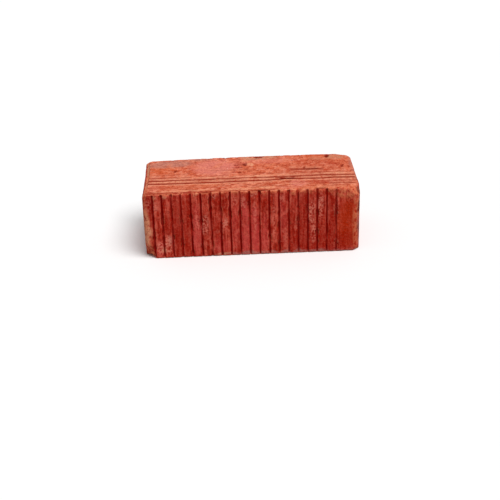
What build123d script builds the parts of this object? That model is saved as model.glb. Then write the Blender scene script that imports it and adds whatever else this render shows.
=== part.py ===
from build123d import *
import os

# Solid clay brick, extruded and wire-cut.
# The clay leaves the die as a column whose section is the length and width of the brick,
# with the keying grooves already in its two long sides. Wires then cut the column to height,
# so the long faces and the ends are die faces and the two beds are cut faces.
#
# Frame: the origin is the centre of the bottom bed, X runs along the length, Y across the
# width and Z up. Sizes are in millimetres.

# Overall size of the fired brick
length = 230.0
width = 100.0
height = 75.0

# Edges
die_corner_radius = 7.0  # the four upright edges
bed_edge_radius = 1.8  # the edges round both beds, softened behind the wire and by handling

# Keying grooves, upright on both long faces, with a full round root and a rounded mouth
groove_pitch = 10.2  # centre to centre
groove_start = 10.4  # from the -X end to the first centre
plain_band = 25.0  # kept free of grooves at the +X end
groove_width = 1.8  # between the side walls
groove_depth = 2.4  # from the long face to the bottom of the root
groove_mouth_radius = 0.4  # where the side walls turn out to the long face

# Two lines that grit on the wire scored along the top bed, as round-bottomed troughs from end to end.
# Each keeps these distances from the front long face, at even steps from the -X end to the +X end.
front_score_setbacks = (31.0, 28.0, 30.4, 29.6)
back_score_setbacks = (39.2, 37.6, 37.2, 36.8)
score_width = 3.6  # at the bed
score_depth = 1.4


def groove_centres():
    """Distances from the -X end: one groove at the start, then one every pitch up to the plain band."""
    room = length - groove_start - plain_band
    count = int(room // groove_pitch) + 1
    return [groove_start + step * groove_pitch for step in range(count)]


def groove_section():
    """One groove seen from above: its mouth lies on the X axis and its root points to +Y."""
    half = groove_width / 2
    mouth = half + groove_mouth_radius
    root_start = groove_depth - half
    with BuildSketch() as section:
        with BuildLine():
            Line((-mouth, 0), (mouth, 0))
            RadiusArc((mouth, 0), (half, groove_mouth_radius), groove_mouth_radius)
            Line((half, groove_mouth_radius), (half, root_start))
            ThreePointArc((half, root_start), (0, groove_depth), (-half, root_start))
            Line((-half, root_start), (-half, groove_mouth_radius))
            RadiusArc((-half, groove_mouth_radius), (-mouth, 0), groove_mouth_radius)
        make_face()
    return section.sketch


def cut_blank():
    """The brick before its grooves: the die's rounded rectangle as high as the wires stand apart."""
    with BuildPart() as blank:
        with BuildSketch():
            RectangleRounded(length, width, die_corner_radius)
        extrude(amount=height)
        beds = blank.faces().filter_by(Axis.Z)
        fillet(beds.edges(), radius=bed_edge_radius)
    return blank.part


def keyed_grooves():
    """The clay that the die leaves out: a row of grooves in the -Y face and its mirror in the +Y face."""
    places = [(centre - length / 2, -width / 2) for centre in groove_centres()]
    with BuildPart() as grooves:
        with BuildSketch():
            with Locations(*places):
                add(groove_section())
            mirror(about=Plane.XZ)
        extrude(amount=height)
    return grooves.part


def scored_trough(setbacks):
    """The clay that one scored line leaves out: a round bar along the line's route, mitred at its slight
    bends. It sinks into the top bed by the score's depth, is as wide there as the score, and runs out past
    both ends."""
    bar_radius = (score_width**2 / 4 + score_depth**2) / (2 * score_depth)
    reach = length / 2 + bar_radius
    step = 2 * reach / (len(setbacks) - 1)
    places = [(number * step - reach, setback - width / 2) for number, setback in enumerate(setbacks)]
    with BuildPart() as trough:
        with BuildLine(Plane.XY.offset(height + bar_radius - score_depth)) as route:
            Polyline(*places)
        with BuildSketch(Plane(origin=route.line @ 0, z_dir=route.line % 0)):
            Circle(bar_radius)
        sweep(transition=Transition.RIGHT)
    return trough.part


brick = cut_blank() - keyed_grooves()
for setbacks in (front_score_setbacks, back_score_setbacks):
    brick -= scored_trough(setbacks)

os.makedirs("parts", exist_ok=True)
export_step(brick, "parts/brick.step")
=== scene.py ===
import math

import bpy
import numpy as np
from mathutils import Matrix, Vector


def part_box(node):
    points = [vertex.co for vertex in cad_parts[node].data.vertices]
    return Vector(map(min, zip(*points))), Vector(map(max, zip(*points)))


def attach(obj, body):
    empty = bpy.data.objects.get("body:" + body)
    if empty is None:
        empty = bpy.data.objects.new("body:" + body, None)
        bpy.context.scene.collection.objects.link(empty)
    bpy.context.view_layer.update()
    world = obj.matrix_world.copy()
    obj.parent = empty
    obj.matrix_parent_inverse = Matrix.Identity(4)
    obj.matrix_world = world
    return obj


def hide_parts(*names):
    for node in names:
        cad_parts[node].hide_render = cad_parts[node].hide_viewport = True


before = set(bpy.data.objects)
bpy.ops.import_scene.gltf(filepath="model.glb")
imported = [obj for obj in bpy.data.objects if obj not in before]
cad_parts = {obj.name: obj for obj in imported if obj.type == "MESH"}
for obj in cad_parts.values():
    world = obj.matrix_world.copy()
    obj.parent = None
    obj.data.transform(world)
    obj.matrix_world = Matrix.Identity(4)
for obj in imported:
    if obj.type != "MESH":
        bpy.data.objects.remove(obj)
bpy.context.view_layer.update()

# One solid wire-cut clay brick, lying on its bottom bed.
# Its skin is one closed sheet. Every point starts from three whole numbers, is carried onto the
# pressed and cut form of the brick, and is then let in by the marks of making and of handling.
#
# Shapes are worked out in millimetres, in the frame's axes, and written to the mesh in metres.
# Marks are placed by "along", from the left end, "back", from the front long face, and "up".

METRE = 1000.0
BOX_LOW, BOX_HIGH = (np.array(corner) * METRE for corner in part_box("brick"))
LENGTH, WIDTH, HEIGHT = BOX_HIGH - BOX_LOW
HALF_LENGTH = LENGTH / 2
HALF_WIDTH = WIDTH / 2

# The four upright edges, each rounded and worn by its own amount
LEFT_FRONT_RADIUS = 5.5
LEFT_BACK_RADIUS = 3.5
RIGHT_FRONT_RADIUS = 8.0
RIGHT_BACK_RADIUS = 6.5

# The edges round the beds, where the wire drew the clay over. The front top edge is rounder to the right.
# All are ragged: along an edge its radius grows and shrinks by up to this share of itself.
FRONT_TOP_RADII = (1.7, 3.8)
BACK_TOP_RADIUS = 1.2
BOTTOM_RADIUS = 1.2
EDGE_RAGGEDNESS = 0.45

# Keying grooves, upright on both long faces
GROOVE_PITCH = 10.2
GROOVE_START = 10.4
GROOVE_COUNT = 20
GROOVE_WIDTH = 1.8
GROOVE_DEPTH = 2.4
GROOVE_MOUTH = 0.4
# How far the teeth of the die stand off their even pitch, at places along the brick
GROOVE_DRIFT_ALONG = (10, 20, 41, 51, 62, 92, 133, 153, 174, 204)
GROOVE_DRIFT = (0.3, -0.1, -0.6, -0.5, 0.1, 0.0, 0.5, 0.5, 0.1, -0.2)
# How deep the worn teeth still cut, as a share of the full depth
TOOTH_WEAR_ALONG = (20, 31, 41, 51, 122, 143, 153, 163, 184, 194, 204)
TOOTH_WEAR = (1.0, 0.82, 0.75, 1.0, 1.0, 0.9, 0.9, 0.88, 0.9, 0.8, 0.86)
# How far the wire smeared clay over the grooves' ends at each bed, and how far the ribs sway to the sides
TOP_SMEAR = 3.0
BOTTOM_SMEAR = 1.8
RIB_SWAY = 0.4

# The brick dried a little crowned: its top bed falls this far over half the length, less in front, to
# both sides of a crest that stands a little to the right of the middle
FRONT_CROWN = 0.5
BACK_CROWN = 1.2
CREST = 14.0

# Rows of points across the width and layers of them up the height: where their spacing changes, from the
# middle of the width and from the bottom, and the number of steps between those places. They stand
# closest at the edges, and the rows also over the two long scored lines.
ROW_MARKS = (-50, -48, -44, -27, -6, 44, 48, 50)
ROW_STEPS = (4, 3, 11, 28, 33, 3, 4)
LAYER_MARKS = (0, 2, 5, 70, 73, 75)
LAYER_STEPS = (4, 3, 41, 3, 4)

# Relief that the making left all over a face: half its greatest depth, the size of one wave of it along
# each axis, its seed, and its layers
MAKING_RELIEF = {
    "slow_waves": (0.12, (48, 40, 40), 1, 2),
    "die_drag": (0.09, (2.4, 2.4, 60), 2, 2),
    "die_lumps": (0.17, (5, 5, 8), 3, 3),
    "wire_drag": (0.14, (30, 2.4, 60), 4, 2),
    "torn_clay": (0.26, (4.6, 3.4, 5), 5, 3),
}


def smooth_step(value, start, end):
    """0 up to start, 1 from end on, and between them 3 t squared less 2 t cubed of the share t of the
    way."""
    share = np.clip((value - start) / (end - start), 0, 1)
    return share * share * (3 - 2 * share)


def cell_numbers(cells, seed):
    """One number from 0 to 1 for each row of three whole numbers, the same whenever the row and the seed
    are. The row and the seed are multiplied by large odd numbers and added, then the high half of the sum
    is folded onto its low half and multiplied again, three times over, within 32 bits."""
    row_steps = np.array([73856093, 19349663, 83492791])
    seed_step = 2654435761
    fold_step = 73244475
    low_half = 16
    all_bits = 2**32 - 1
    key = (cells @ row_steps + seed * seed_step) & all_bits
    for _ in range(3):
        key = ((key ^ (key >> low_half)) * fold_step) & all_bits
    return (key ^ (key >> low_half)) / all_bits


def cloud(points, size, seed, layers=1):
    """Smooth random heights from -1 to 1. Space is cut into cells of the given size along each axis, each
    cell corner has a random number, and a point takes the mean of the eight corners round it, weighted by
    the smooth step of its place between them. Each further layer is half as large and half as high."""
    total = np.zeros(len(points))
    reach = 0.0
    for layer in range(layers):
        share = 0.5**layer
        place = points / (np.array(size) * share)
        cell = np.floor(place).astype(np.int64)
        part = smooth_step(place - cell, 0, 1)
        for corner in np.ndindex(2, 2, 2):
            weight = np.where(corner, part, 1 - part).prod(axis=1)
            total += share * weight * (2 * cell_numbers(cell + np.array(corner), seed + layer) - 1)
        reach += share
    return total / reach


def stepped(marks, counts):
    """Places from the first mark to the last, with each stretch between two marks divided evenly into its
    count of steps."""
    places = [np.linspace(start, end, count, endpoint=False)
              for start, end, count in zip(marks, marks[1:], counts)]
    return np.append(np.concatenate(places), marks[-1])


def box_skin(steps):
    """A closed skin on a box of whole numbers. Each side is a grid of two of the numbers with the third
    held at 0 or at its end, and what two or three sides share is one point. Gives the points, as rows of
    three whole numbers, and the four-sided faces, turned outwards."""
    sides = []
    for axis in range(3):
        u, v = (axis + 1) % 3, (axis + 2) % 3
        for end in (0, steps[axis]):
            across, along = np.meshgrid(np.arange(steps[u]), np.arange(steps[v]), indexing="ij")
            round_face = [(0, 0), (1, 0), (1, 1), (0, 1)] if end else [(0, 0), (0, 1), (1, 1), (1, 0)]
            side = np.empty(across.shape + (4, 3), np.int64)
            side[..., axis] = end
            for corner, (du, dv) in enumerate(round_face):
                side[..., corner, u] = across + du
                side[..., corner, v] = along + dv
            sides.append(side.reshape(-1, 3))
    places, faces = np.unique(np.concatenate(sides), axis=0, return_inverse=True)
    return places, faces.reshape(-1, 4)


def groove_section():
    """One groove across its width, as distances from its centre and depths: the long face, the slope of
    the mouth, the straight wall, then the round root. Round the root the distance is the half width times
    the cosine of the turn, and the depth is the wall's plus the half width times its sine."""
    half = GROOVE_WIDTH / 2
    wall_end = GROOVE_DEPTH - half
    turn = np.radians([0, 45])
    across = np.concatenate([[half + GROOVE_MOUTH, half], half * np.cos(turn)])
    depth = np.concatenate([[0, GROOVE_MOUTH], wall_end + half * np.sin(turn)])
    across = np.concatenate([-across, [0], across[::-1]])
    depth = np.concatenate([depth, [GROOVE_DEPTH], depth[::-1]])
    return across, depth


def columns_along():
    """The columns of points along the brick. "face" gives their places on a long face, where they crowd
    into the grooves. "bed" gives their places across the middle of a bed, where they stand evenly from
    one groove's centre to the next. "dug" is the groove's depth at each, and "at_mouth" is 1 in a groove
    and at its mouth and falls to 0 on the rib beside it."""
    rib_steps = 6
    left_corner_steps = 6
    left_end_steps = 2
    right_end_steps = 11
    right_corner_steps = 7
    left_corner = -HALF_LENGTH + LEFT_FRONT_RADIUS
    right_corner = HALF_LENGTH - RIGHT_FRONT_RADIUS
    teeth = GROOVE_START + GROOVE_PITCH * np.arange(GROOVE_COUNT)
    teeth = teeth + np.interp(teeth, GROOVE_DRIFT_ALONG, GROOVE_DRIFT) - HALF_LENGTH
    across, depth = groove_section()
    middle = len(across) // 2

    left_end = stepped([-HALF_LENGTH, left_corner, teeth[0] + across[0]],
                       [left_corner_steps, left_end_steps])
    right_end = stepped([teeth[-1] + across[-1], right_corner, HALF_LENGTH],
                        [right_end_steps, right_corner_steps])
    face = [left_end[:-1]]
    dug = [np.zeros(len(face[0]))]
    anchors = [0, left_corner_steps]
    for number, tooth in enumerate(teeth):
        anchors.append(sum(map(len, face)) + middle)
        face.append(tooth + across)
        dug.append(depth)
        if number + 1 < len(teeth):
            rib = stepped([tooth + across[-1], teeth[number + 1] + across[0]], [rib_steps])[1:-1]
        else:
            rib = right_end[1:]
        face.append(rib)
        dug.append(np.zeros(len(rib)))
    face = np.concatenate(face)
    anchors += [len(face) - 1 - right_corner_steps, len(face) - 1]

    from_tooth = np.abs(face[:, None] - teeth).min(axis=1)
    off_mouth = smooth_step(from_tooth, GROOVE_WIDTH / 2 + GROOVE_MOUTH, GROOVE_WIDTH + GROOVE_MOUTH)
    return {
        "face": face,
        "bed": np.interp(np.arange(len(face)), anchors, face[anchors]),
        "dug": np.concatenate(dug),
        "at_mouth": 1 - off_mouth,
    }


def rounded_edge(inset, below, radius):
    """Carries the right-angled edge between a bed and a side onto a quarter circle. A point's shares of
    the radius, counted back towards the edge, make an arrow, and the arrow is shortened to the length 1.
    Gives the new inset, the new depth below the bed, and how squarely the point sits on the edge."""
    side_share = np.clip(1 - inset / radius, 0, 1)
    bed_share = np.clip(1 - below / radius, 0, 1)
    reach = np.hypot(side_share, bed_share)
    new_inset = np.where(side_share > 0, radius * (1 - side_share / reach), inset)
    new_below = np.where(bed_share > 0, radius * (1 - bed_share / reach), below)
    return new_inset, new_below, 2 * side_share * bed_share / reach**2


def edge_radii(start):
    """The radius of the nearest bed edge at each point: at the top from the front edge's to the back's by
    a smooth step over the width, at the bottom the same all round, and both times one plus a cloud."""
    ragged = 1 + EDGE_RAGGEDNESS * cloud(start, (13, 13, 13), seed=21, layers=2)
    front = np.interp(start[:, 0], (-HALF_LENGTH, HALF_LENGTH), FRONT_TOP_RADII)
    top = BACK_TOP_RADIUS + (front - BACK_TOP_RADIUS) * smooth_step(-start[:, 1], -HALF_WIDTH, HALF_WIDTH)
    return np.where(start[:, 2] > HEIGHT / 2, top, BOTTOM_RADIUS) * ragged


def rounded_plan(x, y, inset):
    """Rounds the four upright edges in plan. A point keeps its inset from the nearest side. In the square
    at each corner it keeps its direction from the arc's centre instead, and its inset is counted along
    that line from the arc. Gives distances from the brick's middle, and how squarely each point sits on
    an upright edge."""
    edge_depth = 2.5
    smallest_spoke = 1e-6
    radius = np.where(x < 0, np.where(y < 0, LEFT_FRONT_RADIUS, LEFT_BACK_RADIUS),
                      np.where(y < 0, RIGHT_FRONT_RADIUS, RIGHT_BACK_RADIUS))
    centre_x = HALF_LENGTH - radius
    centre_y = HALF_WIDTH - radius
    beside_x = np.abs(x) - centre_x
    beside_y = np.abs(y) - centre_y
    in_corner = (beside_x > 0) & (beside_y > 0)
    spoke = np.maximum(np.hypot(beside_x, beside_y), smallest_spoke)
    by_long_face = HALF_WIDTH - np.abs(y) <= HALF_LENGTH - np.abs(x)
    plan_x = np.where(by_long_face, np.abs(x), HALF_LENGTH - inset)
    plan_y = np.where(by_long_face, HALF_WIDTH - inset, np.abs(y))
    plan_x = np.where(in_corner, centre_x + (radius - inset) * beside_x / spoke, plan_x)
    plan_y = np.where(in_corner, centre_y + (radius - inset) * beside_y / spoke, plan_y)
    squarely = np.where(in_corner, 2 * beside_x * beside_y / spoke**2, 0)
    return plan_x, plan_y, squarely * (1 - smooth_step(inset, 0, edge_depth))


def groove_depths(start, below, dug, from_long_face):
    """How deep the grooves go at each point: the tooth's depth there times what is left of it by the
    tooth's wear, by the clay smeared over the grooves' ends, by what clogs them, and by the way across
    the bed."""
    groove_reach = 7
    least_open = 0.25
    clogging = 0.45
    smear = np.where(start[:, 2] > HEIGHT / 2, TOP_SMEAR, BOTTOM_SMEAR)
    smear = smear * (1 + 0.6 * cloud(start, (7, 7, 200), seed=31))
    kept_open = least_open + (1 - least_open) * smooth_step(below, 0.2 * smear, smear)
    unclogged = 1 - clogging * smooth_step(cloud(start, (9, 60, 14), seed=32, layers=2), 0.1, 0.6)
    worn = np.interp(start[:, 0] + HALF_LENGTH, TOOTH_WEAR_ALONG, TOOTH_WEAR)
    return dug * worn * kept_open * unclogged * (1 - smooth_step(from_long_face, 0, groove_reach))


def pressed_form(places, columns, rows, layers):
    """The brick as pressed and cut, before wear. The whole numbers pick a column, a row and a layer, and
    across the bed the columns leave their crowding for even steps. The beds' edges and the upright edges
    are rounded, the grooves let in, and the height falls by the crown times the square of the distance
    from the crest. Gives points in mm, how squarely each is on an edge, and its share of the groove's
    full depth."""
    crowding_reach = 10
    column, row, layer = places.T
    y = rows[row]
    z = layers[layer]
    from_long_face = HALF_WIDTH - np.abs(y)
    crowded = 1 - smooth_step(from_long_face, 0, crowding_reach)
    x = columns["bed"][column] + (columns["face"][column] - columns["bed"][column]) * crowded
    from_end = HALF_LENGTH - np.abs(x)
    start = np.stack([x, y, z], 1)

    inset = np.minimum(from_end, from_long_face)
    below = np.minimum(z, HEIGHT - z)
    inset, below, on_bed_edge = rounded_edge(inset, below, edge_radii(start))
    plan_x, plan_y, on_upright_edge = rounded_plan(x, y, inset)
    groove = groove_depths(start, below, columns["dug"][column], from_long_face)

    # The ribs stand still up to 2 mm from an end and sway in full from 10 mm on
    sway = RIB_SWAY * cloud(start, (11, 60, 13), seed=12, layers=2)
    sway = sway * crowded * smooth_step(from_end, 2, 10)
    crown = FRONT_CROWN + (BACK_CROWN - FRONT_CROWN) * (y + HALF_WIDTH) / WIDTH
    up = np.where(z > HEIGHT / 2, HEIGHT - below, below)
    up = up - crown * ((x - CREST) / HALF_LENGTH) ** 2 * up / HEIGHT
    points = np.stack([plan_x * np.sign(x) + sway, (plan_y - groove) * np.sign(y), up], 1)
    return points, np.maximum(on_bed_edge, on_upright_edge), groove / GROOVE_DEPTH


def outward(points, faces):
    """The direction out of the skin at each point: the cross products of the diagonals of the faces round
    the point, added up and brought to the length 1."""
    first, second, third, fourth = (points[faces[:, corner]] for corner in range(4))
    across = np.cross(third - first, fourth - second)
    total = np.zeros_like(points)
    for corner in range(4):
        for axis in range(3):
            total[:, axis] += np.bincount(faces[:, corner], across[:, axis], len(points))
    return total / np.linalg.norm(total, axis=1, keepdims=True)


def hollows(points, centres, sizes, depths):
    """How deep a set of round-bottomed hollows goes at each point: depth times one less the squared
    distance from the centre in sizes, and the deepest where several meet. A size is given along each
    axis."""
    deepest = np.zeros(len(points))
    for centre, size, depth in zip(centres, sizes, depths):
        near = np.abs(points[:, 0] - centre[0]) < size[0]
        spread = (((points[near] - centre) / size) ** 2).sum(axis=1)
        deepest[near] = np.maximum(deepest[near], depth * np.maximum(1 - spread, 0))
    return deepest


def spots(along, over, places):
    """Soft-edged oval spots on one face. Each place gives its middle, its half sizes and its strength.
    The value is the strength, falling by a smooth step over the outer part of the oval and just past it,
    and the greatest where spots meet."""
    fall_start = 0.55
    fall_end = 1.1
    strongest = np.zeros(len(along))
    for middle_along, middle_over, half_along, half_over, strength in places:
        distance = np.hypot((along - middle_along) / half_along, (over - middle_over) / half_over)
        strongest = np.maximum(strongest, strength * (1 - smooth_step(distance, fall_start, fall_end)))
    return strongest


def scored_line(along, back, route, half_width):
    """A line scored across a bed, as a bell of the distance from the route in half widths, e to the power
    of less its square. The route's place back from the front face is read off between its points, and the
    line dies away at its two ends."""
    fade_start = -3
    fade_end = 1
    route_along, route_back = np.array(route, float).T
    across = (back - np.interp(along, route_along, route_back)) / half_width
    past = np.maximum(route_along[0] - along, along - route_along[-1])
    return np.exp(-across**2) * (1 - smooth_step(past, fade_start, fade_end))


# Lines that grit on the wire scored along the top bed, each as points (along, back), half width and
# depth. A short one joins the two long ones right of the middle, and leaves a torn spot there.
TOP_BED_LINES = [
    ([(1, 31.2), (25, 30.3), (50, 29.0), (75, 28.2), (95, 28.5), (115, 28.8), (135, 28.4), (145, 29.8),
      (154, 31.6), (170, 29.8), (187, 29.2), (205, 30.4), (229, 29.4)], 1.9, 1.6),
    ([(1, 39.4), (20, 38.8), (50, 38.0), (102, 37.2), (112, 37.8), (128, 36.6), (145, 37.0), (172, 37.1),
      (192, 38.2), (208, 37.3), (229, 36.6)], 1.7, 1.4),
    ([(140, 36.6), (148, 34.4), (155, 32.2)], 1.5, 1.2),
    ([(198, 14.4), (228, 14.0)], 1.3, 0.9),
    ([(6, 46.6), (52, 45.2)], 1.2, 0.7),
    ([(3, 55.0), (48, 54.0)], 1.0, 0.4),
    ([(40, 33.6), (76, 32.8), (110, 33.6)], 1.0, 0.4),
    ([(120, 12.6), (150, 11.8)], 1.1, 0.5),
    ([(158, 57.4), (176, 56.6), (196, 55.6)], 2.0, 1.0),
    ([(70, 62.0), (100, 60.6), (118, 61.0)], 1.0, 0.4),
    ([(130, 47.0), (168, 47.6), (220, 46.0)], 1.0, 0.4),
    ([(196, 22.0), (227, 21.4)], 1.0, 0.35),
    ([(4, 18.0), (60, 17.0), (88, 17.6)], 1.0, 0.3),
]
# Short tears in the top bed: (along, back, half length along, half length back, depth)
TOP_BED_TEARS = [
    (154.0, 31.2, 7.5, 2.8, 2.6),
    (161.0, 34.6, 3.6, 1.4, 1.2),
    (102.0, 67.5, 7.5, 1.8, 1.9),
    (101.0, 76.0, 6.0, 1.6, 1.4),
    (182.0, 56.6, 9.5, 3.0, 2.1),
    (174.5, 60.5, 1.5, 4.2, 1.4),
    (104.0, 53.5, 2.6, 3.4, 1.7),
    (110.5, 77.0, 2.4, 4.0, 2.2),
    (34.0, 65.0, 3.4, 3.2, 1.3),
    (217.5, 64.0, 2.0, 5.0, 1.4),
    (191.0, 44.0, 1.6, 4.0, 1.0),
    (127.0, 98.0, 5.5, 5.0, 2.4),
    (203.0, 94.0, 3.0, 5.0, 2.0),
    (70.0, 99.5, 5.0, 3.5, 1.8),
    (90.0, 99.0, 5.0, 3.0, 1.6),
    (150.0, 100.0, 6.0, 3.0, 1.2),
    (66.0, 0.5, 5.0, 4.5, 1.6),
    (122.0, 0.5, 11.0, 4.5, 1.3),
    (187.0, 0.5, 8.0, 4.0, 1.3),
]
# The same on the bottom bed
BOTTOM_BED_LINES = [
    ([(2, 61.0), (60, 62.6), (140, 61.2), (228, 63.5)], 1.0, 0.9),
    ([(2, 22.0), (90, 20.6), (170, 22.8), (228, 22.0)], 0.9, 0.6),
    ([(40, 78.0), (120, 79.4), (188, 78.4)], 0.9, 0.5),
]
BOTTOM_BED_TEARS = [
    (71.0, 40.0, 7.0, 1.8, 1.5),
    (150.0, 72.0, 3.2, 3.6, 1.5),
    (187.0, 34.0, 8.0, 1.7, 1.3),
    (30.0, 84.0, 4.0, 2.4, 1.2),
]
# How far the wire smears the dark skin of the front face over the top bed, at places along the brick. The
# lap is also painted darker than the skin, as painted shade of the rounded front edge.
LAP_ALONG = (0, 20, 75, 95, 130, 150, 200, 230)
LAP_WIDTHS = (5.5, 6.0, 6.0, 3.5, 5.0, 2.0, 1.0, 0.0)

# Knocks on the edges and corners: (along, back, up) of the middle, half size on each axis and depth
KNOCKS = [
    ((0, 0, 0), (11, 12, 17), 6.0),
    ((230, 0, 61), (5, 4, 7), 1.3),
    ((230, 1, 44), (4.5, 4, 6), 1.2),
    ((230, 0, 22), (4, 4, 8), 0.7),
    ((230, 0, 0), (8, 7, 5), 1.6),
    ((229, 2, 75), (12, 15, 10), 3.8),
    ((0, 50, 75), (6, 64, 7), 3.6),
    ((228, 100, 75), (14, 14, 6), 1.8),
    ((1, 100, 75), (6, 6, 4), 1.0),
    ((0, 100, 20), (5, 5, 12), 1.2),
    ((1, 0, 74), (5, 5, 5), 0.8),
    ((160, 0, 75), (13, 4, 4), 1.0),
]
# Where the kiln and the handling coloured the top bed, and where shade and light are painted on it, as
# marked below: (along, back, half sizes, strength) of each spot
BED_TONES = {
    "rosy": [(78, 70, 30, 27, 1.0), (165, 17, 10, 10, 0.9), (150, 6, 20, 4, 0.6), (12, 33, 9, 30, 0.4),
             (100, 74, 6, 12, 0.6), (130, 84, 50, 10, 0.5)],
    "orange": [(22, 70, 19, 13, 0.8), (192, 93, 22, 8, 0.7), (126, 5, 22, 5, 0.5), (13, 40, 9, 34, 0.4),
               (42, 19, 46, 7, 0.8)],
    "russet": [(176, 52, 24, 10, 0.35), (194, 20, 34, 8, 0.4), (14, 20, 15, 7, 0.35),
               (167, 19, 10, 8, 0.25)],
    "flashed": [(190, 64, 36, 22, 0.4), (186, 38, 24, 9, 0.7), (168, 52, 14, 10, 0.5),
                (200, 20, 30, 6, 0.7), (206, 8, 20, 4, 0.4), (103, 77, 5, 12, 0.8), (34, 20, 32, 6, 0.4),
                (172, 19, 12, 4, 0.6)],
    "dusty": [(126, 94, 24, 7, 1.0), (212, 90, 14, 9, 0.7), (2, 76, 4.5, 22, 0.9), (192, 87, 12, 6, 0.4)],
    "ashen": [(28, 86, 30, 13, 1.0), (60, 95, 20, 5, 0.7), (230, 50, 5.0, 50, 0.75)],
    # Painted highlight: the pale spots 5 to 8 mm back from the front edge stand for light on the rounded
    # front edge; the others are pale clay
    "pale": [(117, 75, 5, 6, 1.0), (112, 87, 6, 5, 0.5), (104, 6.5, 20, 3.4, 0.8),
             (132, 8, 12, 4.5, 0.9), (160, 16, 12, 2.0, 0.4), (196, 5, 24, 2.2, 0.4),
             (45, 7.5, 38, 2.6, 0.6), (28, 34.5, 24, 1.6, 0.5), (128, 40, 14, 1.8, 0.8),
             (200, 42.5, 22, 2.2, 0.5), (92, 33, 24, 1.6, 0.5)],
    # Painted shade: the burnt spots darken the tears and the right-hand edge of the top bed, where shade
    # falls
    "burnt_and_painted_shade": [(110.5, 76, 2.6, 5, 0.9), (127, 96, 5, 4, 0.9), (153.5, 31.0, 7.5, 2.6, 1.0),
              (182, 56.6, 8, 2.6, 0.5), (203, 95, 3, 5, 0.5), (34, 65, 3.0, 2.8, 0.4),
              (230, 44, 2.2, 12, 0.6), (230, 20, 2.4, 8, 0.7)],
}
# The same on the front: (along, up, half sizes, strength)
FACE_TONES = {
    "crimson": [(107.5, 30, 6, 40, 1.0), (118, 26, 5.5, 38, 1.0), (128, 22, 5, 30, 0.8),
                (56, 30, 6, 36, 0.8), (16, 12, 5, 12, 0.6), (148, 40, 5, 40, 0.4), (215, 3, 70, 3, 0.4),
                (97, 34, 5, 38, 0.5), (82, 12, 10, 12, 0.6)],
    "russet": [(217, 32, 15, 36, 1.0)],
    "flashed": [(25.5, 38, 5, 14, 0.8), (36, 34, 6, 44, 0.9), (46, 30, 5.5, 44, 0.9),
                (77, 34, 5, 20, 0.4), (129, 62, 5, 18, 0.6), (159, 34, 5, 40, 0.5),
                (169, 36, 5, 44, 0.9), (199, 30, 5, 44, 0.8), (216, 12, 14, 14, 0.7),
                (184, 12, 38, 18, 1.0), (7, 5, 6, 8, 0.5), (178, 42, 5, 34, 0.5), (188, 50, 5, 30, 0.5)],
    "dusty": [(2.5, 34, 4.5, 22, 0.45)],
    "ashen": [(150, 1.2, 85, 2.8, 1.0), (229.5, 38, 3.2, 42, 0.75), (28, 20, 3, 6, 0.4)],
    # Painted light: the first two pale spots lighten the left upright edge, and those 70 to 72 mm up are
    # painted highlights on the rib tops below the top edge; the others are pale clay
    "pale": [(3, 34, 4.5, 24, 0.9), (5, 31, 5, 10, 0.7), (13, 70, 3, 3, 0.5), (24, 71, 3, 3, 0.5),
             (56, 72, 3, 3, 0.5), (84, 1.5, 12, 2.4, 0.6), (20, 10, 2.5, 3, 0.8)],
    # Painted light: the rubbed spots on the front are painted highlights along its top edge and its right
    # upright edge, and they lighten its left upright edge, which turns away from the key light
    "rubbed_and_painted_light": [(2.5, 36, 5, 28, 1.0), (5, 12, 5, 9, 0.6), (216, 74, 20, 13, 1.0), (150, 78, 120, 9, 0.6),
               (224, 36, 3.0, 40, 0.6), (160, 74, 11, 6, 1.0), (197, 74, 9, 5, 0.8),
               (128, 75, 8, 5, 0.7)],
    "scuffed": [(178, 46, 4.5, 17, 1.0), (180.5, 24, 4, 12, 0.8), (187.5, 55, 3.4, 18, 0.9),
                (86.5, 38, 3.6, 9, 0.9), (66, 38, 4, 13, 0.7), (16.5, 13, 4, 9, 0.9),
                (25, 15, 4.4, 12, 1.0), (57, 42, 3.4, 10, 0.6), (204, 50, 4, 12, 0.4),
                (204, 9, 4, 7, 0.2), (117, 70, 4, 4, 0.8), (75, 70, 4, 4, 0.7), (162, 35, 3, 8, 0.4),
                (106, 62, 4, 9, 0.6), (118, 45, 2, 22, 0.5), (138, 40, 2, 30, 0.4), (63, 36, 2, 12, 0.9),
                (14, 60, 4, 8, 0.5), (97, 64, 4, 7, 0.5), (150, 20, 4, 12, 0.3), (5, 60, 4, 10, 0.5),
                (146, 64, 4, 5, 0.5)],
    # Painted shade: the burnt spots darken the notches in the right upright edge
    "burnt_and_painted_shade": [(229.5, 50, 2.8, 9, 0.8), (229.5, 70, 2.6, 7, 0.7), (229.5, 24, 2.4, 8, 0.6)],
}
# Elsewhere a tone shows at the peaks of a cloud of its own: the lump's size and the value where it starts
CLOUDED_TONES = {
    "rosy": (50, 0.0),
    "orange": (40, 0.15),
    "flashed": (45, 0.0),
    "dusty": (40, 0.45),
    "pale": (9, 0.4),
    "crimson": (40, 0.0),
    "russet": (50, 0.1),
    "rubbed_and_painted_light": (30, 0.35),
    "scuffed": (12, 0.35),
    "ashen": (45, 0.45),
    "burnt_and_painted_shade": (11, 0.5),
}


def pores(up, seed):
    """Seeded pores for one bed: their centres, half sizes and depths. Their sizes follow the square of a
    random number, so that most are small. Each is up to 2.8 times as long along the brick as across, and
    0.4 to 0.8 of its half width deep."""
    count = 150
    margin = 4
    smallest = 0.5
    largest = 1.5
    draw = [cell_numbers(np.stack([np.arange(count), np.full(count, part), np.zeros(count, int)], 1), seed)
            for part in range(5)]
    along = (draw[0] - 0.5) * (LENGTH - 2 * margin)
    back = (draw[1] - 0.5) * (WIDTH - 2 * margin)
    size = smallest + (largest - smallest) * draw[2] ** 2
    longer = 1 + 1.8 * draw[3]
    depths = size * (0.4 + 0.4 * draw[4])
    centres = np.stack([along, back, np.full_like(size, up)], 1)
    sizes = np.stack([size * longer, size, np.full_like(size, HEIGHT)], 1)
    return centres, sizes, depths


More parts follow.
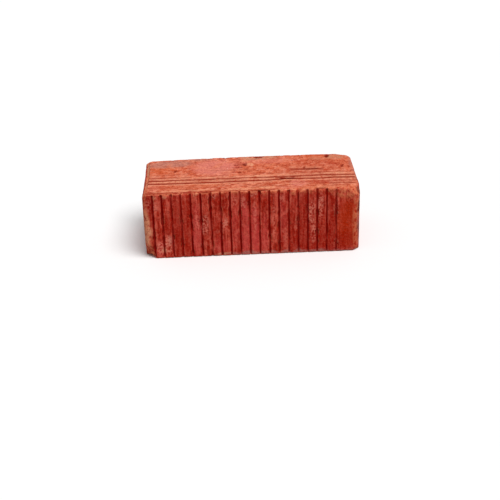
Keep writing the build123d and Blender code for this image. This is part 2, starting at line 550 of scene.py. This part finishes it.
def bed_marks(points, lines, tears, up, seed):
    """The marks of one bed at each point: how deep they go in mm, as the deepest of scored lines, tears
    and pores, and from 0 to 1 the painted shade in a line and the painted shade in a tear or pore, each
    growing with the depth there, and how high the clay is pushed up beside a line: a bell wider than the
    line's, times one less the line's own."""
    lip_width = 2.8
    line_darkness = 1.1
    tear_darkness = 0.7
    pore_darkness = 0.5
    along = points[:, 0] + HALF_LENGTH
    back = points[:, 1] + HALF_WIDTH
    broken = 1 + 0.5 * cloud(points, (9, 5, 200), seed, layers=2)
    ragged_route = back + 0.6 * cloud(points, (7, 5, 200), seed + 3, layers=3)
    ragged_width = 1 + 0.35 * cloud(points, (12, 9, 200), seed + 4, layers=2)
    scored = np.zeros(len(points))
    pushed = np.zeros(len(points))
    for route, half_width, depth in lines:
        bell = scored_line(along, ragged_route, route, half_width * ragged_width)
        wide_bell = scored_line(along, ragged_route, route, lip_width * half_width)
        scored = np.maximum(scored, depth * bell * broken)
        pushed = np.maximum(pushed, depth * (1 - bell) * wide_bell * broken)

    # A cloud pushes the outlines of tears and pores about, more along the brick than across it
    torn_edge = cloud(points, (3.4, 2.0, 200), seed + 1, layers=2)
    wobbled = points + np.stack([2.6 * torn_edge, 1.5 * torn_edge, 0 * torn_edge], 1)
    centres = [(at_along - HALF_LENGTH, at_back - HALF_WIDTH, up) for at_along, at_back, *_ in tears]
    sizes = [(half_along, half_back, HEIGHT) for _, _, half_along, half_back, _ in tears]
    torn = hollows(wobbled, centres, sizes, [tear[-1] for tear in tears])
    pitted = hollows(wobbled, *pores(up, seed + 2))
    depth = np.maximum(scored, np.maximum(torn, pitted))
    painted_line_shade = np.clip(line_darkness * scored, 0, 1)
    painted_tear_shade = np.clip(np.maximum(tear_darkness * torn, pore_darkness * pitted), 0, 1)
    return depth, painted_line_shade, painted_tear_shade, np.clip(pushed, 0, 1)


def knock_marks(points):
    """The knocks, as an arrow at each point. Each knock is a hollow let in along one direction, equally
    away from the faces whose edge or corner it sits on, so that it leaves a flat. A cloud breaks up its
    surface."""
    nearby = 4
    breakage = 0.3
    origin = np.array([HALF_LENGTH, HALF_WIDTH, 0])
    total = np.zeros_like(points)
    for middle, size, depth in KNOCKS:
        middle = np.array(middle, float)
        inwards = (middle < nearby).astype(float) - (middle > BOX_HIGH - BOX_LOW - nearby)
        share = hollows(points, [middle - origin], [size], [depth])
        total += share[:, None] * inwards / np.linalg.norm(inwards)
    return total * (1 + breakage * cloud(points, (3, 3, 3), seed=61, layers=2))[:, None]


def chip_marks(points, on_edge, at_mouth):
    """How deep small chips go, first along the brick's edges and then along the mouths of the grooves: a
    cloud's peaks, kept only where the skin turns an edge or a mouth."""
    edge_chip = 1.2
    rib_chip = 0.8
    peaks = smooth_step(cloud(points, (5, 5, 5), seed=71, layers=2), 0.2, 0.7)
    rib_peaks = smooth_step(cloud(points, (4, 60, 6), seed=72, layers=2), 0.15, 0.6)
    return edge_chip * peaks * smooth_step(on_edge, 0.1, 0.8), rib_chip * rib_peaks * at_mouth


def tone_fields(points, top, bottom, front, other_sides):
    """The strength of each tone at each point. On the top bed and on the front it comes from the tone's
    spots, whose outlines are pushed about by a cloud, and on the other faces from the peaks of a cloud:
    bed tones on the bottom bed, and face tones on the back and the ends."""
    push_along = 3.5
    push_back = 2.5
    push_up = 4.0
    push_share_on_ribs = 0.35
    peak_strength = 0.8
    peak_rise = 0.35
    along = points[:, 0] + HALF_LENGTH + push_along * cloud(points, (11, 11, 11), seed=91, layers=3)
    back = points[:, 1] + HALF_WIDTH + push_back * cloud(points, (9, 7, 9), seed=92, layers=3)
    up = points[:, 2] + push_up * cloud(points, (7, 7, 11), seed=93, layers=3)
    # The front's spots sit on single ribs, so they are pushed about less along the brick
    along_ribs = points[:, 0] + HALF_LENGTH + push_share_on_ribs * (along - points[:, 0] - HALF_LENGTH)
    fields = {}
    for number, (tone, (size, start)) in enumerate(CLOUDED_TONES.items()):
        lumps = cloud(points, (size, size, 1.4 * size), seed=94 + 3 * number, layers=3)
        peaks = peak_strength * smooth_step(lumps, start, start + peak_rise)
        field = np.zeros(len(points))
        if tone in BED_TONES:
            field += top * spots(along, back, BED_TONES[tone]) + bottom * peaks
        if tone in FACE_TONES:
            field += front * spots(along_ribs, up, FACE_TONES[tone]) + other_sides * peaks
        fields[tone] = field
    return fields


def making_relief(points, bed, dragged, drawn, dug, pushed, scuffed):
    """How deep the marks of making go at each point, besides lines, tears and pores. Slow waves lie all
    over. The beds have the drag of the wire and torn clay, less on what is pushed up beside a line. The
    sides have the drag and lumps of the die and the flakes of the scuffs, but not inside the grooves.
    Each relief is its half depth times one plus a cloud, and the flakes are the peaks of a cloud."""
    flake_depth = 0.5
    lip_smoothness = 0.6
    relief = {name: half_depth * (1 + cloud(points, size, seed, layers))
              for name, (half_depth, size, seed, layers) in MAKING_RELIEF.items()}
    flakes = smooth_step(cloud(points, (3.5, 3.5, 5), seed=6, layers=2), -0.1, 0.4)
    flaked = flake_depth * scuffed * flakes
    on_bed = (dragged * relief["wire_drag"] + relief["torn_clay"]) * (1 - lip_smoothness * pushed)
    on_side = drawn * relief["die_drag"] + relief["die_lumps"] + flaked
    out_of_grooves = 1 - smooth_step(dug, 0.0, 0.3)
    return relief["slow_waves"] + (bed * on_bed + (1 - bed) * out_of_grooves * on_side)


def lapped_skin(points, top):
    """Where the skin of the front face laps over the edge of the top bed, and where it is painted darker
    as painted shade: 1 up to the lap's width, which a cloud makes ragged, and 0 past it."""
    half_seam = 0.8
    width = np.interp(points[:, 0] + HALF_LENGTH, LAP_ALONG, LAP_WIDTHS)
    width = width * (1 + 0.6 * cloud(points, (7, 7, 7), seed=83, layers=2))
    return top * smooth_step(-points[:, 1] - HALF_WIDTH + width, -half_seam, half_seam)


def wear_and_front_highlight(points, top, on_edge, dug, dents, rib_chips):
    """Where handling wore the skin pale, with a painted highlight: worn on the edges by a cloud, in knocks
    and chips by their depth, and in the chips of the ribs but not inside the grooves, and a painted
    highlight on the strip of the top bed along its front edge."""
    full_dent = 1.5
    front_highlight_share = 0.5
    chip_wear = 1.2
    edges = on_edge * (0.75 + 0.5 * cloud(points, (9, 9, 9), seed=82))
    front_edge_highlight = top * smooth_step(-points[:, 1], HALF_WIDTH - 10, HALF_WIDTH - 6)
    ribs = chip_wear * rib_chips * (1 - np.clip(2 * dug, 0, 1))
    return np.clip(edges + dents / full_dent + front_highlight_share * front_edge_highlight + ribs, 0, 1)


def rib_tones(points):
    """One random number from 0 to 1 for each rib, by its count from the left and the long face that it is
    on."""
    rib = np.floor((points[:, 0] + HALF_LENGTH - GROOVE_START) / GROOVE_PITCH).astype(np.int64)
    side = (points[:, 1] > 0).astype(np.int64)
    return cell_numbers(np.stack([rib, side, 0 * side], 1), seed=81)


def worn_brick():
    """The finished skin: the pressed form let in along its outward direction by every mark, knocked in at
    its edges, and kept inside the frame's box. Gives points in mm, faces, and the fields that colour the
    clay."""
    columns = columns_along()
    rows = stepped(ROW_MARKS, ROW_STEPS)
    rows = rows * HALF_WIDTH / rows[-1]
    layers = stepped(LAYER_MARKS, LAYER_STEPS)
    layers = layers * HEIGHT / layers[-1]
    places, faces = box_skin((len(columns["face"]) - 1, len(rows) - 1, len(layers) - 1))
    points, on_edge, dug = pressed_form(places, columns, rows, layers)

    # Which face a point is on, by how level the skin is there and how near it is to a long face
    normals = outward(points, faces)
    bed = smooth_step(np.abs(normals[:, 2]), 0.5, 0.9)
    top = bed * (normals[:, 2] > 0)
    bottom = bed - top
    front = (1 - bed) * smooth_step(-points[:, 1], HALF_WIDTH - 11, HALF_WIDTH - 8)
    long_face = smooth_step(np.abs(points[:, 1]), HALF_WIDTH - 4, HALF_WIDTH - 3)
    at_mouth = columns["at_mouth"][places[:, 0]] * (1 - bed) * long_face
    # The wire dragged more grit over the front half of the beds than over the back half, and the die drew
    # the long faces more than the ends
    back_drag = 0.35
    end_draw = 0.3
    dragged = back_drag + (1 - back_drag) * (1 - smooth_step(points[:, 1], -8, 8))
    near_long_face = smooth_step(np.abs(points[:, 1]), HALF_WIDTH - 7, HALF_WIDTH - 3)
    drawn = end_draw + (1 - end_draw) * near_long_face

    top_marks = bed_marks(points, TOP_BED_LINES, TOP_BED_TEARS, HEIGHT, seed=41)
    bottom_marks = bed_marks(points, BOTTOM_BED_LINES, BOTTOM_BED_TEARS, 0, seed=51)
    marks, scored, torn, pushed = (top * above + bottom * below
                                   for above, below in zip(top_marks, bottom_marks))
    knocks = knock_marks(points)
    chips, rib_chips = chip_marks(points, on_edge, at_mouth)
    fields = tone_fields(points, top, bottom, front, 1 - bed - front)
    relief = making_relief(points, bed, dragged, drawn, dug, pushed, fields["scuffed"])
    depth = relief + marks + chips + rib_chips
    points = np.clip(points - normals * depth[:, None] + knocks, BOX_LOW, BOX_HIGH)

    lap_and_painted_shade = lapped_skin(points, top)
    raised_seam = 3 * lap_and_painted_shade * (1 - lap_and_painted_shade)
    dents = np.linalg.norm(knocks, axis=1) + chips
    fields["cut_bed"] = bed - lap_and_painted_shade
    fields["dragged"] = fields["cut_bed"] * dragged
    fields["drawn"] = (1 - fields["cut_bed"]) * drawn
    fields["lap_and_painted_shade"] = lap_and_painted_shade
    # Painted shade: the grooves are coloured a darker red the deeper they go, where shade falls in them
    fields["hollow"] = np.clip(dug, 0, 1)
    # Painted shade in the scored lines, growing with their depth
    fields["scored"] = scored
    # Painted shade in the tears and pores, growing with their depth
    fields["torn"] = torn
    fields["raised"] = np.clip(pushed + raised_seam, 0, 1)
    # The wear field is wear on the edges, knocks and chips, plus a painted highlight along the front edge
    # of the top bed
    fields["wear"] = wear_and_front_highlight(points, top, on_edge, dug, dents, rib_chips)
    fields["rib_tone"] = rib_tones(points)
    return points, faces, fields


def brick_piece():
    """Writes the worn skin to one mesh, in metres, with a named number at every point for each field."""
    points, faces, fields = worn_brick()
    mesh = bpy.data.meshes.new("clay_brick")
    mesh.vertices.add(len(points))
    mesh.vertices.foreach_set("co", (points / METRE).ravel())
    mesh.loops.add(faces.size)
    mesh.loops.foreach_set("vertex_index", faces.ravel())
    mesh.polygons.add(len(faces))
    mesh.polygons.foreach_set("loop_start", np.arange(0, faces.size, 4))
    mesh.polygons.foreach_set("use_smooth", np.ones(len(faces), bool))
    mesh.update(calc_edges=True)
    for name, values in fields.items():
        mesh.attributes.new(name, "FLOAT", "POINT").data.foreach_set("value", values.astype(np.float32))
    mesh.materials.append(fired_clay(fields))
    piece = bpy.data.objects.new("clay_brick", mesh)
    bpy.context.scene.collection.objects.link(piece)
    return piece


def linear(hex_colour):
    """An sRGB hex colour as linear red, green, blue and a full alpha. A part up to 0.04045 is divided by
    12.92, and a brighter one, with 0.055 added and divided by 1.055, is raised to the power of 2.4."""
    parts = [int(hex_colour[at:at + 2], 16) / 255 for at in (1, 3, 5)]
    return [part / 12.92 if part <= 0.04045 else ((part + 0.055) / 1.055) ** 2.4 for part in parts] + [1.0]


def add(tree, kind, inputs={}, **settings):
    """Adds a node of that kind. settings are its own properties, and inputs gives, for a socket's name or
    number, a value or the output socket that feeds it."""
    made = tree.nodes.new(kind)
    for name, value in settings.items():
        setattr(made, name, value)
    for socket, value in inputs.items():
        if isinstance(value, bpy.types.NodeSocket):
            tree.links.new(value, made.inputs[socket])
        else:
            made.inputs[socket].default_value = value
    return made


def new_material(name):
    """An empty node material of that name, and its output node."""
    material = bpy.data.materials.new(name)
    material.use_nodes = True
    material.node_tree.nodes.clear()
    return material, add(material.node_tree, "ShaderNodeOutputMaterial")


# A Mix node's sockets, by number because they share their names: its share, its two numbers and its two
# colours, then the mixed colour among its outputs
SHARE = 0
FIRST_NUMBER = 2
SECOND_NUMBER = 3
FIRST_COLOUR = 6
SECOND_COLOUR = 7
MIXED_COLOUR = 2

# The clay under all its coats, as the die pressed it and as the wire cut it
PRESSED_CLAY = "#C82A14"
CUT_CLAY = "#E46A46"
# Size in mm of one lump of each pattern. Real sand in such clay is 0.2 to 0.5 mm across, and the grain is
# drawn at 0.8 mm so that it shows.
PATTERN_SIZES = {
    "broad": (60, 50, 45),
    "patches": (13, 13, 15),
    "upright_streaks": (2.3, 2.3, 22),
    "upright_scratches": (0.8, 0.8, 9),
    "drag_bands": (17, 5.5, 17),
    "drag_lines": (8, 1.6, 8),
    "blotches": (5.0, 5.0, 6.5),
    "flecks": (2.6, 2.8, 4.0),
    "lumps": (1.9, 1.8, 2.1),
    "specks": (1.3, 1.3, 1.3),
    "grain": (0.8, 0.8, 0.8),
}
# Coats of colour on the clay, each laid over the ones before it: pattern, the pattern's values where the
# coat starts and where it is full, the field or mask that it keeps to, its strength and its colour. A
# coat that starts above its full value lies in the pattern's dips.
COATS = [
    ("broad", 0.42, 0.66, "die_skin", 0.35, "#B42410"),
    ("blotches", 0.20, 0.60, "rib", 0.50, "#A01606"),
    ("broad", 0.50, 0.68, "cut_bed", 0.30, "#E88466"),
    ("patches", 0.50, 0.64, "cut_bed", 0.38, "#C03C12"),
    ("patches", 0.50, 0.36, "cut_bed", 0.35, "#F6946C"),
    ("patches", 0.50, 0.66, "die_skin", 0.45, "#DC5040"),
    ("upright_streaks", 0.50, 0.60, "drawn", 0.60, "#EA6A56"),
    ("upright_streaks", 0.50, 0.40, "drawn", 0.55, "#8E0600"),
    ("upright_scratches", 0.54, 0.68, "drawn", 0.40, "#EC7460"),
    ("upright_scratches", 0.46, 0.32, "drawn", 0.40, "#860800"),
    ("drag_bands", 0.52, 0.62, "dragged", 0.50, "#FCA484"),
    ("drag_bands", 0.48, 0.38, "dragged", 0.50, "#B0300C"),
    ("drag_lines", 0.52, 0.62, "dragged", 0.65, "#FEA688"),
    ("drag_lines", 0.48, 0.38, "dragged", 0.70, "#9E2404"),
    ("blotches", 0.54, 0.66, "cut_bed", 0.58, "#B0300C"),
    ("blotches", 0.46, 0.34, "cut_bed", 0.62, "#FEA488"),
    ("blotches", 0.54, 0.64, "die_skin", 0.50, "#EC705C"),
    ("blotches", 0.46, 0.36, "die_skin", 0.45, "#8C0800"),
    ("flecks", 0.56, 0.64, "cut_bed", 0.72, "#9A2402"),
    ("patches", 0.20, 0.50, "rosy", 0.60, "#EE8C80"),
    ("patches", 0.20, 0.50, "orange", 0.50, "#DC5A1C"),
    ("patches", 0.20, 0.50, "crimson", 0.60, "#E04C4A"),
    ("patches", 0.10, 0.40, "russet", 0.78, "#C02C00"),
    ("blotches", 0.22, 0.52, "flashed", 0.70, "#A61000"),
    # Painted shade: the lap is painted a darker skin red, shaded like the front face
    ("blotches", 0.10, 0.40, "lap_and_painted_shade", 0.85, "#A63828"),
    ("lumps", 0.44, 0.58, "scuffed", 0.80, "#FC947E"),
    # Painted light: the rubbed coat is painted highlight and lit edges on the front, and rubbing at the
    # peaks of its cloud on the back and the ends
    ("flecks", 0.36, 0.52, "rubbed_and_painted_light", 0.75, "#E8825A"),
    # The pale coat is painted highlight at the spots along the front edge, on the rib tops and on the left
    # upright edge, and pale clay elsewhere
    ("flecks", 0.34, 0.50, "pale", 0.78, "#FFB28A"),
    # The wear coat includes a painted highlight along the front edge of the top bed
    ("flecks", 0.40, 0.56, "wear", 0.75, "#E88058"),
    ("patches", 0.12, 0.50, "ashen", 0.50, "#B48C82"),
    ("blotches", 0.34, 0.56, "dusty", 0.80, "#CE9C7C"),
    ("flecks", 0.30, 0.55, "raised", 0.75, "#FFAE8A"),
    ("lumps", 0.55, 0.68, "cut_bed", 0.40, "#FE9C80"),
    ("lumps", 0.55, 0.68, "die_skin", 0.28, "#E86850"),
    ("lumps", 0.45, 0.32, None, 0.40, "#960E00"),
    ("specks", 0.64, 0.74, None, 0.30, "#F09070"),
    ("specks", 0.34, 0.26, None, 0.50, "#761002"),
    ("grain", 0.55, 0.68, "cut_bed", 0.35, "#FAAC86"),
    ("grain", 0.55, 0.68, "die_skin", 0.28, "#EA7258"),
    ("grain", 0.45, 0.32, None, 0.40, "#780A02"),
    # Painted shade: a dark red laid in the scored lines
    ("lumps", 0.10, 0.40, "scored", 0.92, "#8E1800"),
    # Painted shade: a dark red laid in the tears and pores
    ("lumps", 0.10, 0.40, "torn", 0.92, "#801200"),
    # Painted shade: the burnt coat darkens tears, notches and the right-hand edges; elsewhere it is a dark
    # tone at the peaks of its cloud
    ("lumps", 0.10, 0.40, "burnt_and_painted_shade", 0.90, "#6C1002"),
    # Painted shade: a dark red laid in the grooves by their depth
    ("lumps", 0.10, 0.40, "hollow", 0.95, "#9C0200"),
]


def fired_clay(fields):
    """Red earthenware, fired and unglazed. Where the die pressed it, the skin is dense, smooth and a deep
    iron red with upright streaks. Where the wire cut it, the body shows: sandy, torn and a paler orange.
    Both are matt. Each coat is mixed in by its pattern, brought to its strength and multiplied by its
    mask. Some coats are painted shade in the grooves, lines, tears and lap, and some are painted light
    along the front's edges."""
    material, output = new_material("fired_red_clay")
    tree = material.node_tree
    place = add(tree, "ShaderNodeTexCoord").outputs["Object"]
    masks = {name: add(tree, "ShaderNodeAttribute", attribute_name=name).outputs["Fac"] for name in fields}
    pressed = add(tree, "ShaderNodeMath", {0: 1.0, 1: masks["cut_bed"]}, operation="SUBTRACT")
    masks["die_skin"] = pressed.outputs[0]
    rib = add(tree, "ShaderNodeMath", {0: masks["rib_tone"], 1: masks["die_skin"]}, operation="MULTIPLY")
    masks["rib"] = rib.outputs[0]
    patterns = {}
    for name, size in PATTERN_SIZES.items():
        per_lump = [METRE / part for part in size]
        scaled = add(tree, "ShaderNodeMapping", {"Vector": place, "Scale": per_lump})
        noise = {"Vector": scaled.outputs[0], "Scale": 1.0, "Detail": 2.5, "Roughness": 0.6}
        patterns[name] = add(tree, "ShaderNodeTexNoise", noise).outputs["Fac"]

    ground = {SHARE: masks["cut_bed"], FIRST_COLOUR: linear(PRESSED_CLAY), SECOND_COLOUR: linear(CUT_CLAY)}
    clay = add(tree, "ShaderNodeMix", ground, data_type="RGBA").outputs[MIXED_COLOUR]
    for pattern, start, full, mask, strength, colour in COATS:
        ramp = {"Value": patterns[pattern], "From Min": start, "From Max": full, "To Max": strength}
        amount = add(tree, "ShaderNodeMapRange", ramp).outputs[0]
        if mask:
            kept = {0: amount, 1: masks[mask]}
            amount = add(tree, "ShaderNodeMath", kept, operation="MULTIPLY").outputs[0]
        coat = {SHARE: amount, FIRST_COLOUR: clay, SECOND_COLOUR: linear(colour)}
        clay = add(tree, "ShaderNodeMix", coat, data_type="RGBA").outputs[MIXED_COLOUR]

    # Relief too fine for the mesh, each on top of the one before: sand grains, small lumps, flakes, then
    # the scratches of die or wire. The last number is the depth in mm.
    scratches = {SHARE: masks["cut_bed"], FIRST_NUMBER: patterns["upright_scratches"],
                 SECOND_NUMBER: patterns["drag_lines"]}
    streaks = add(tree, "ShaderNodeMix", scratches).outputs[0]
    bumps = [
        (patterns["grain"], 0.7, 0.6),
        (patterns["lumps"], 0.6, 0.9),
        (patterns["flecks"], 0.6, 1.2),
        (streaks, 0.8, 0.8),
    ]
    under = {}
    for height, strength, depth in bumps:
        bump = {"Height": height, "Strength": strength, "Distance": depth / METRE}
        under = {"Normal": add(tree, "ShaderNodeBump", bump | under).outputs[0]}
    # The die left its skin a little smoother than the wire left the beds
    skin_to_bed = {"Value": masks["cut_bed"], "To Min": 0.78, "To Max": 0.92}
    roughness = add(tree, "ShaderNodeMapRange", skin_to_bed).outputs[0]
    matt = {"Base Color": clay, "Roughness": roughness, "Specular IOR Level": 0.04}
    surface = add(tree, "ShaderNodeBsdfPrincipled", matt | under)
    tree.links.new(surface.outputs[0], output.inputs["Surface"])
    return material


def pale_floor():
    """A plain pale floor, one large square. To the camera its colour is white, so that the lit floor
    shows white and keeps the brick's shadow. To the light that bounces off it, it is a mid grey."""
    material, output = new_material("pale_floor")
    tree = material.node_tree
    seen = add(tree, "ShaderNodeLightPath").outputs["Is Camera Ray"]
    shades = {SHARE: seen, FIRST_COLOUR: linear("#BCBCBC"), SECOND_COLOUR: linear("#FFFFFF")}
    colour = add(tree, "ShaderNodeMix", shades, data_type="RGBA").outputs[MIXED_COLOUR]
    surface = add(tree, "ShaderNodeBsdfDiffuse", {"Color": colour})
    tree.links.new(surface.outputs[0], output.inputs["Surface"])
    half_side = 12.0
    corners = [(-half_side, -half_side, 0), (half_side, -half_side, 0),
               (half_side, half_side, 0), (-half_side, half_side, 0)]
    mesh = bpy.data.meshes.new("floor")
    mesh.from_pydata(corners, [], [(0, 1, 2, 3)])
    mesh.materials.append(material)
    floor = bpy.data.objects.new("floor", mesh)
    bpy.context.scene.collection.objects.link(floor)


def studio_light():
    """A broad soft key light from above, to the right and in front, and an even pale surround. Together
    they give a level face about as much light as shows its colour as written."""
    height = math.radians(64)
    side = math.radians(38)
    key = bpy.data.lights.new("key", "SUN")
    key.energy = 2.55
    key.angle = math.radians(40)
    lamp = bpy.data.objects.new("key", key)
    lamp.rotation_euler = (math.pi / 2 - height, 0, side)
    bpy.context.scene.collection.objects.link(lamp)

    # The surround is white to the camera and dimmer as a light
    world = bpy.data.worlds.new("surround")
    world.use_nodes = True
    tree = world.node_tree
    tree.nodes.clear()
    seen = add(tree, "ShaderNodeLightPath").outputs["Is Camera Ray"]
    strength = add(tree, "ShaderNodeMapRange", {"Value": seen, "To Min": 0.3, "To Max": 1.0}).outputs[0]
    surround = add(tree, "ShaderNodeBackground", {"Color": linear("#FFFFFF"), "Strength": strength})
    output = add(tree, "ShaderNodeOutputWorld")
    tree.links.new(surround.outputs[0], output.inputs["Surface"])
    bpy.context.scene.world = world


def photo_camera():
    """A camera about 1.1 m off and a little to the left, looking down on the front long face and the top
    bed. It is leant on its own axis, so the brick's level edges fall to the left."""
    place = (-0.0301, -1.0097, 0.4825)
    pan = math.radians(-1.6)
    down = math.radians(26.4)
    lean = math.radians(-1.62)
    data = bpy.data.cameras.new("camera")
    data.sensor_width = 36.0
    data.lens = 72.0
    camera = bpy.data.objects.new("camera", data)
    turn = (Matrix.Rotation(pan, 4, "Z") @ Matrix.Rotation(math.pi / 2 - down, 4, "X")
            @ Matrix.Rotation(lean, 4, "Z"))
    camera.matrix_world = Matrix.Translation(place) @ turn
    bpy.context.scene.collection.objects.link(camera)
    bpy.context.scene.camera = camera


brick = brick_piece()
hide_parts("brick")
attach(brick, "root")
pale_floor()
studio_light()
photo_camera()
bpy.context.scene.view_settings.view_transform = "Standard"
